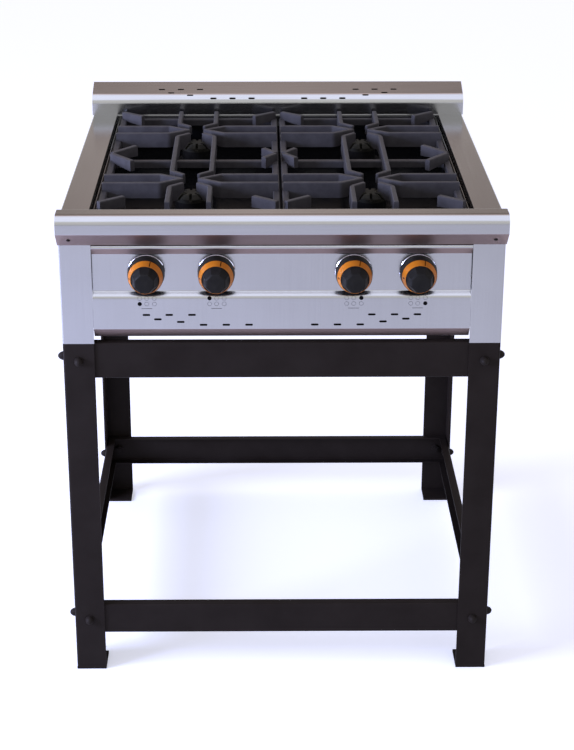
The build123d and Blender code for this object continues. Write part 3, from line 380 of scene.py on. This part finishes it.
def printed_marks():
    """Flat marks in front of a surface, laid back onto it as a film of ink."""
    tree, given = start_tree("printed_marks", ("Film", "Reach"), {"Surface": "Object"})
    under = add(tree, "GeometryNodeObjectInfo", {"Object": given["Surface"]}).outputs["Geometry"]
    ray = {"Target Geometry": under, "Ray Direction": (0.0, 1.0, 0.0), "Ray Length": given["Reach"]}
    found = add(tree, "GeometryNodeRaycast", ray).outputs
    scaled = {0: found["Hit Normal"], "Scale": given["Film"]}
    lift = add(tree, "ShaderNodeVectorMath", scaled, operation="SCALE").outputs[0]
    raised = {0: found["Hit Position"], 1: lift}
    landed = add(tree, "ShaderNodeVectorMath", raised, operation="ADD").outputs[0]
    laid = {"Geometry": given["Source"], "Selection": found["Is Hit"], "Position": landed}
    return end_tree(tree, add(tree, "GeometryNodeSetPosition", laid).outputs[0], given["Finish"])


def show(name, mesh, body):
    """A piece that rides on a body."""
    piece = bpy.data.objects.new(name, mesh)
    bpy.context.scene.collection.objects.link(piece)
    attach(piece, body)
    return piece


def grow(name, tree, source, values):
    """Run a tree on a source mesh and keep the result as a plain mesh."""
    carrier = bpy.data.objects.new(name, source)
    bpy.context.scene.collection.objects.link(carrier)
    steps = carrier.modifiers.new("grow", "NODES")
    steps.node_group = tree
    for item in tree.interface.items_tree:
        if item.in_out == "INPUT" and item.name in values:
            steps[item.identifier] = values[item.name]
    grown = carrier.evaluated_get(bpy.context.evaluated_depsgraph_get())
    mesh = bpy.data.meshes.new_from_object(grown)
    carrier.modifiers.remove(steps)
    bpy.data.objects.remove(carrier)
    return mesh


def facing_points(name, places):
    """A mesh of loose points, each with the direction that it faces."""
    mesh = bpy.data.meshes.new(name)
    mesh.from_pydata([place for place, _ in places], [], [])
    facing = mesh.attributes.new("facing", "FLOAT_VECTOR", "POINT")
    for number, (_, direction) in enumerate(places):
        facing.data[number].vector = direction
    return mesh


# Bolts and screws

FRAME_BOLT = {
    "Head radius": 7.5 * MM,
    "Head height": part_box("frame_bolts")[1].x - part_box("leg_front_right")[1].x,
    "Shank radius": 4 * MM,
    "Shank length": 13.5 * MM,
}
SHEET_SCREW = {
    "Head radius": 3.2 * MM,
    "Head height": 1.8 * MM,
    "Shank radius": 1.8 * MM,
    "Shank length": 9 * MM,
}
BOLT_INSET = 25 * MM
NOSING_SCREW_REACH = 331 * MM
NOSING_SCREW_RISE = 12 * MM
# The way that the underside of the nosing faces
NOSING_UNDERSIDE = (0, -24, -22)
REAR_SCREW_LEVELS = (640 * MM, 705 * MM, 770 * MM)


def frame_bolt_places():
    """Two bolts on every leg at the height of each rail, one through each flange."""
    places = []
    for corner in CORNERS:
        low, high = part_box("leg_" + corner)
        side = -1 if "left" in corner else 1
        rear = -1 if "front" in corner else 1
        x = low.x if side < 0 else high.x
        y = low.y if rear < 0 else high.y
        for rail in ("upper_rail_front", "lower_rail_front"):
            z = sum(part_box(rail), Vector()).z / 2
            places.append(((x - side * BOLT_INSET, y, z), (0, rear, 0)))
            places.append(((x, y - rear * BOLT_INSET, z), (side, 0, 0)))
    return places


def nosing_screw_places():
    """One screw at each end of the nosing, in the middle of its sloping underside."""
    low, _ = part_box("front_nosing")
    casing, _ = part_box("side_casing_left")
    y = (low.y + casing.y) / 2
    z = low.z + NOSING_SCREW_RISE
    return [((side * NOSING_SCREW_REACH, y, z), NOSING_UNDERSIDE) for side in (-1, 1)]


def rear_screw_places():
    """Screws through each casing's rear flange into the edge of the rear panel inside it."""
    low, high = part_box("side_casing_right")
    _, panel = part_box("rear_panel")
    x = (low.x + panel.x) / 2
    return [((side * x, high.y, level), (0, 1, 0)) for side in (-1, 1) for level in REAR_SCREW_LEVELS]


FASTENERS = domed_fasteners()
for name, places, sizes, slot in (("frame_bolt_heads", frame_bolt_places(), FRAME_BOLT, "black_bolt_steel"),
                                  ("nosing_screws", nosing_screw_places(), SHEET_SCREW, "black_bolt_steel"),
                                  ("rear_screws", rear_screw_places(), SHEET_SCREW, "zinc_steel")):
    points = facing_points(name + "_points", places)
    mesh = grow(name, FASTENERS, points, {**sizes, "Finish": FINISHES[slot]})
    bolts = show(name, mesh, "hob")
    if name == "frame_bolt_heads":
        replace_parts(bolts, "frame_bolts")


# Gas inlet

INLET_BORE = 8.0 * MM
INLET_ROOT = 9.35 * MM
THREAD = {"Root radius": 9.4 * MM, "Ridge": 1.08 * MM, "Pitch": 1.814 * MM, "Length": 13.5 * MM}
THREAD_RUN = 16 * MM
THREAD_LEAD = 1.2 * MM
INLET_BEVEL = 1 * MM
TURNED_STEPS = 64
TURNED_CREASE = math.radians(30)


def turned(name, profile, centre):
    """A piece turned about an axis to the rear, from a closed profile of depths and radii."""
    form = bmesh.new()
    rows = []
    for depth, radius in profile:
        row = []
        for step in range(TURNED_STEPS):
            angle = step * math.tau / TURNED_STEPS
            offset = Vector((radius * math.cos(angle), 0, radius * math.sin(angle)))
            row.append(form.verts.new(Vector((centre.x, depth, centre.z)) + offset))
        rows.append(row)
    for row, after in zip(rows, rows[1:] + rows[:1]):
        for step in range(TURNED_STEPS):
            turn = (step + 1) % TURNED_STEPS
            form.faces.new((row[step], row[turn], after[turn], after[step])).smooth = True
    bmesh.ops.recalc_face_normals(form, faces=form.faces)
    mesh = bpy.data.meshes.new(name)
    form.to_mesh(mesh)
    form.free()
    mesh.set_sharp_from_angle(angle=TURNED_CREASE)
    return mesh


inlet_low, inlet_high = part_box("gas_inlet_pipe")
inlet_centre = (inlet_low + inlet_high) / 2
inlet_radius = (inlet_high.x - inlet_low.x) / 2
thread_start = inlet_high.y - THREAD_RUN
inlet_mesh = turned("inlet_pipe", [
    (inlet_low.y, inlet_radius), (thread_start, inlet_radius), (thread_start + INLET_BEVEL, INLET_ROOT),
    (inlet_high.y - INLET_BEVEL, INLET_ROOT), (inlet_high.y, INLET_ROOT - INLET_BEVEL),
    (inlet_high.y, INLET_BORE), (inlet_low.y, INLET_BORE)], inlet_centre)
inlet_mesh.materials.append(FINISHES["pipe_steel"])
inlet = show("inlet_pipe", inlet_mesh, "hob")
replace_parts(inlet, "gas_inlet_pipe")
thread_place = ((inlet_centre.x, thread_start + THREAD_LEAD, inlet_centre.z), (0, 1, 0))
thread_points = facing_points("inlet_thread_points", [thread_place])
thread_values = {**THREAD, "Finish": FINISHES["pipe_steel"]}
thread_mesh = grow("inlet_thread", wound_thread(), thread_points, thread_values)
show("inlet_thread", thread_mesh, "hob")


# Printed marks

FILM = 0.06 * MM
MARK_LEAD = 50 * MM
MARK_REACH = 200 * MM
MARK_MERGE = 0.001 * MM
ICON_ROWS = (679.1 * MM, 669.8 * MM)
ICON_COLUMNS = (-11 * MM, 0, 12 * MM)
ICON_RING = 3.4 * MM
ICON_LINE = 0.38 * MM
LIT_ICON = {"front_left": (0, 1), "rear_left": (0, 0), "rear_right": (2, 0), "front_right": (2, 1)}
UNDERLINE_HEIGHT = 662 * MM
UNDERLINE_LENGTH = 17 * MM
UNDERLINE_WIDTH = 0.65 * MM
TICK_SPAN = (23.2 * MM, 27.1 * MM)
TICK_WIDTH = 1.4 * MM
TICK_ANGLE = math.radians(72)
DOT_REACH = 25 * MM
DOT_RADIUS = 1.2 * MM


def ring_mark(form, centre, inner, outer, steps=40, rings=4):
    """A flat ring facing the front, or a disc when its inner radius is 0."""
    rows = []
    for ring in range(rings + 1):
        radius = inner + (outer - inner) * ring / rings
        turns = [step * math.tau / steps for step in range(steps)]
        rows.append([form.verts.new(centre + radius * Vector((math.cos(t), 0, math.sin(t)))) for t in turns])
    for row, after in zip(rows, rows[1:]):
        for step in range(steps):
            turn = (step + 1) % steps
            form.faces.new((row[step], after[step], after[turn], row[turn]))


def bar_mark(form, start, end, width, steps=8):
    """A flat bar facing the front, between two points."""
    across = (end - start).normalized().cross(Vector((0, -1, 0))) * width / 2
    pairs = []
    for step in range(steps + 1):
        spot = start.lerp(end, step / steps)
        pairs.append((form.verts.new(spot + across), form.verts.new(spot - across)))
    for (right, left), (next_right, next_left) in zip(pairs, pairs[1:]):
        form.faces.new((right, next_right, next_left, left))


def draw_icons(form, hub, lit):
    """Six rings below a knob for the burners, the knob's own one filled, and a line under them."""
    for column, x in enumerate(ICON_COLUMNS):
        for row, z in enumerate(ICON_ROWS):
            inner = 0 if (column, row) == lit else ICON_RING - ICON_LINE
            ring_mark(form, Vector((hub.x + x, hub.y, z)), inner, ICON_RING)
    start = Vector((hub.x - UNDERLINE_LENGTH / 2, hub.y, UNDERLINE_HEIGHT))
    bar_mark(form, start, start + Vector((UNDERLINE_LENGTH, 0, 0)), UNDERLINE_WIDTH)


def draw_dial(form, hub):
    """A tick near the top of a dial ring and a dot at its left."""
    direction = Vector((math.cos(TICK_ANGLE), 0, math.sin(TICK_ANGLE)))
    inner, outer = TICK_SPAN
    bar_mark(form, hub + direction * inner, hub + direction * outer, TICK_WIDTH)
    ring_mark(form, hub - Vector((DOT_REACH, 0, 0)), 0, DOT_RADIUS, steps=20, rings=2)


def printed(name, form, surface, body):
    """Finish a set of flat marks, lay them on a node and let them ride with it."""
    bmesh.ops.remove_doubles(form, verts=form.verts, dist=MARK_MERGE)
    flat = bpy.data.meshes.new(name + "_flat")
    form.to_mesh(flat)
    form.free()
    values = {"Film": FILM, "Reach": MARK_REACH, "Surface": NODES[surface], "Finish": INK}
    show(name, grow(name, MARKS, flat, values), body)


MARKS = printed_marks()
marks_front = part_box("front_nosing")[0].y - MARK_LEAD
icons = bmesh.new()
for corner in CORNERS:
    low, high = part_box("knob_" + corner)
    hub = (low + high) / 2
    hub.y = marks_front
    draw_icons(icons, hub, LIT_ICON[corner])
    marks = bmesh.new()
    draw_dial(marks, hub)
    printed("dial_marks_" + corner, marks, "dial_ring_" + corner, "turn_" + corner)
printed("burner_icons", icons, "control_panel", "hob")


# Knobs

EDGE_EASE = 0.6 * MM
HUB_CLEAR = 12 * MM
KNOB_MERGE = 0.01 * MM
EASED_FROM = math.radians(25)
KNOB_CREASE = math.radians(35)


def eased_knob(name, body):
    """A knob with the moulded edges of its skirt and grip eased."""
    low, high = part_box(name)
    axis = (low + high) / 2
    form = bmesh.new()
    form.from_mesh(NODES[name].data)
    bmesh.ops.remove_doubles(form, verts=form.verts, dist=KNOB_MERGE)
    sharp = []
    for edge in form.edges:
        off_axis = min(math.hypot(vert.co.x - axis.x, vert.co.z - axis.z) for vert in edge.verts)
        if len(edge.link_faces) == 2 and off_axis > HUB_CLEAR and edge.calc_face_angle() > EASED_FROM:
            sharp.append(edge)
    bmesh.ops.bevel(form, geom=sharp, offset=EDGE_EASE, segments=3, profile=0.5, affect="EDGES",
                    clamp_overlap=True)
    for face in form.faces:
        face.smooth = True
    mesh = bpy.data.meshes.new(name + "_eased")
    form.to_mesh(mesh)
    form.free()
    mesh.set_sharp_from_angle(angle=KNOB_CREASE)
    mesh.materials.append(FINISHES["black_knob_plastic"])
    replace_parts(show(name + "_eased", mesh, body), name)


for corner in CORNERS:
    eased_knob("knob_" + corner, "turn_" + corner)


# Studio

# Plain light on the object
PLAIN_LIGHT = "#f4f2ff"
PLAIN_LEVEL = 0.7
LAMP_PLACE = Vector((-2.7, -1.1, 1.3))
LAMP_AIM = Vector((0, 0, 0.8))
LAMP_SIZE = (1.4, 1.0)
LAMP_WATTS = 170
LAMP_LIGHT = "#c2cdff"

# Floor
FLOOR_HALF = 25.0
FLOOR_PAPER = "#eeeef6"
FLOOR_WHITE = "#eff3ff"
FLOOR_GLOW = 0.48

# Room that the metal shows: where each part of it starts and is full, as an angle from the front
# horizon over the top in radians, or for the low wall as the height of the direction
SOFTBOX_FRONT = (0.4, 0.7)
SOFTBOX_REAR = (2.12, 1.6)
FRONT_WALL = (1.9, 1.2)
LOW_WALL = (0.26, 0.16)

# Its colours, and their levels from left to right, or from the middle outwards
SOFTBOX_LIGHT = "#e6eaff"
SOFTBOX_LEVELS = (2.9, 2.3)
SOFTBOX_HALF = 0.5
EDGE_LIGHT = "#ffcfb8"
EDGE_LEVEL = 6.0
EDGE_FADE = 3.0
CEILING = "#b4a5a0"
CEILING_LEVELS = (1.55, 0.9)
CEILING_MIDDLE = 0.13
WALLS = "#ffffff"
WALL_LEVEL = 1.0
FRONT_LEVEL = 1.3

# Camera
CAMERA_PLACE = (-0.034, -2.8224, 1.6485)
CAMERA_PITCH = 0.357
CAMERA_YAW = -0.0073
SENSOR_WIDTH = 36.0
FOCAL_LENGTH = 81.94
CAMERA_SHIFT = (0.02, -0.13)


def studio_lamp():
    """A large cool softbox at the left, out of the camera's sight, for shape and a soft shadow."""
    light = bpy.data.lights.new("left_softbox", "AREA")
    light.shape = "RECTANGLE"
    light.size, light.size_y = LAMP_SIZE
    light.energy = LAMP_WATTS
    light.color = linear(LAMP_LIGHT)[:3]
    lamp = bpy.data.objects.new("left_softbox", light)
    lamp.visible_camera = False
    lamp.location = LAMP_PLACE
    lamp.rotation_euler = (LAMP_AIM - LAMP_PLACE).to_track_quat("-Z", "Y").to_euler()
    bpy.context.scene.collection.objects.link(lamp)


def seen_directly(tree):
    """1 where the camera sees a surface, straight or in metal or glass, and 0 for the light that it gives."""
    path = add(tree, "ShaderNodeLightPath").outputs
    seen = path["Is Camera Ray"]
    for ray in ("Is Glossy Ray", "Is Transmission Ray"):
        seen = add(tree, "ShaderNodeMath", {0: seen, 1: path[ray]}, operation="MAXIMUM").outputs[0]
    return seen


def studio_floor():
    """White paper that shows as white to the camera and in the metal, and keeps a soft shadow."""
    mesh = bpy.data.meshes.new("studio_floor")
    corners = [(x * FLOOR_HALF, y * FLOOR_HALF, 0) for x, y in ((-1, -1), (1, -1), (1, 1), (-1, 1))]
    mesh.from_pydata(corners, [], [(0, 1, 2, 3)])
    floor = bpy.data.objects.new("studio_floor", mesh)
    bpy.context.scene.collection.objects.link(floor)
    paper = bpy.data.materials.new("white_paper")
    paper.use_nodes = True
    tree = paper.node_tree
    tree.nodes.clear()
    seen = {0: seen_directly(tree), 1: FLOOR_GLOW}
    glow = add(tree, "ShaderNodeMath", seen, operation="MULTIPLY").outputs[0]
    matt = add(tree, "ShaderNodeBsdfDiffuse", {"Color": linear(FLOOR_PAPER)}).outputs[0]
    white = add(tree, "ShaderNodeEmission", {"Color": linear(FLOOR_WHITE), "Strength": glow}).outputs[0]
    both = add(tree, "ShaderNodeAddShader", {0: matt, 1: white}).outputs[0]
    add(tree, "ShaderNodeOutputMaterial", {"Surface": both})
    mesh.materials.append(paper)


def pale_room(tree):
    """A long cool softbox overhead in front, warm at its rear edge, a beige ceiling and white walls."""
    direction = add(tree, "ShaderNodeTexCoord").outputs["Generated"]
    axes = add(tree, "ShaderNodeSeparateXYZ", {0: direction}).outputs
    forward = add(tree, "ShaderNodeMath", {0: axes["Y"], 1: -1.0}, operation="MULTIPLY").outputs[0]
    around = add(tree, "ShaderNodeMath", {0: axes["Z"], 1: forward}, operation="ARCTAN2").outputs[0]
    shares = []
    for value, (start, end) in ((around, SOFTBOX_FRONT), (around, SOFTBOX_REAR), (around, FRONT_WALL),
                                (axes["Z"], LOW_WALL)):
        part = {"Value": value, "From Min": start, "From Max": end}
        shares.append(add(tree, "ShaderNodeMapRange", part, interpolation_type="SMOOTHSTEP").outputs[0])
    front_edge, rear_edge, before, low = shares

    pale = add(tree, "ShaderNodeMath", {0: before, 1: low}, operation="MAXIMUM").outputs[0]
    tones = {0: pale, 6: linear(CEILING), 7: linear(WALLS)}
    walls = add(tree, "ShaderNodeMix", tones, data_type="RGBA").outputs[2]
    off_middle = add(tree, "ShaderNodeMath", {0: axes["X"]}, operation="ABSOLUTE").outputs[0]
    outwards = {"Value": off_middle, "From Min": 0.0, "From Max": CEILING_MIDDLE,
                "To Min": CEILING_LEVELS[0], "To Max": CEILING_LEVELS[1]}
    above = add(tree, "ShaderNodeMapRange", outwards).outputs["Result"]
    behind = add(tree, "ShaderNodeMix", {0: low, 2: above, 3: WALL_LEVEL}).outputs[0]
    level = add(tree, "ShaderNodeMix", {0: before, 2: behind, 3: FRONT_LEVEL}).outputs[0]
    warm = add(tree, "ShaderNodeBackground", {"Color": walls, "Strength": level}).outputs[0]

    across = {"Value": axes["X"], "From Min": -SOFTBOX_HALF, "From Max": SOFTBOX_HALF,
              "To Min": SOFTBOX_LEVELS[0], "To Max": SOFTBOX_LEVELS[1]}
    strength = add(tree, "ShaderNodeMapRange", across).outputs["Result"]
    softbox = {"Color": linear(SOFTBOX_LIGHT), "Strength": strength}
    cool = add(tree, "ShaderNodeBackground", softbox).outputs[0]
    lit = add(tree, "ShaderNodeMath", {0: front_edge, 1: rear_edge}, operation="MULTIPLY").outputs[0]
    mixed = add(tree, "ShaderNodeMixShader", {0: lit, 1: warm, 2: cool}).outputs[0]

    unlit = add(tree, "ShaderNodeMath", {0: 1.0, 1: rear_edge}, operation="SUBTRACT").outputs[0]
    faded = add(tree, "ShaderNodeMath", {0: unlit, 1: EDGE_FADE}, operation="POWER").outputs[0]
    edge = add(tree, "ShaderNodeMath", {0: lit, 1: faded}, operation="MULTIPLY").outputs[0]
    glow = add(tree, "ShaderNodeMath", {0: edge, 1: EDGE_LEVEL}, operation="MULTIPLY").outputs[0]
    blush = add(tree, "ShaderNodeBackground", {"Color": linear(EDGE_LIGHT), "Strength": glow}).outputs[0]
    return add(tree, "ShaderNodeAddShader", {0: mixed, 1: blush}).outputs[0]


def studio_world():
    """Plain even light on the object, and a pale room for the camera and the metal to see."""
    world = bpy.data.worlds.new("studio")
    bpy.context.scene.world = world
    world.use_nodes = True
    tree = world.node_tree
    tree.nodes.clear()
    even = {"Color": linear(PLAIN_LIGHT), "Strength": PLAIN_LEVEL}
    plain = add(tree, "ShaderNodeBackground", even).outputs[0]
    parts = {0: seen_directly(tree), 1: plain, 2: pale_room(tree)}
    add(tree, "ShaderNodeOutputWorld", {"Surface": add(tree, "ShaderNodeMixShader", parts).outputs[0]})


def studio_camera():
    """In front and well above, looking down on the hob as the photograph does."""
    lens = bpy.data.cameras.new("camera")
    lens.sensor_width = SENSOR_WIDTH
    lens.lens = FOCAL_LENGTH
    lens.shift_x, lens.shift_y = CAMERA_SHIFT
    camera = bpy.data.objects.new("camera", lens)
    camera.location = CAMERA_PLACE
    camera.rotation_euler = (math.pi / 2 - CAMERA_PITCH, 0, CAMERA_YAW)
    bpy.context.scene.collection.objects.link(camera)
    bpy.context.scene.camera = camera


studio_lamp()
studio_floor()
studio_world()
studio_camera()
bpy.context.scene.view_settings.view_transform = "Standard"
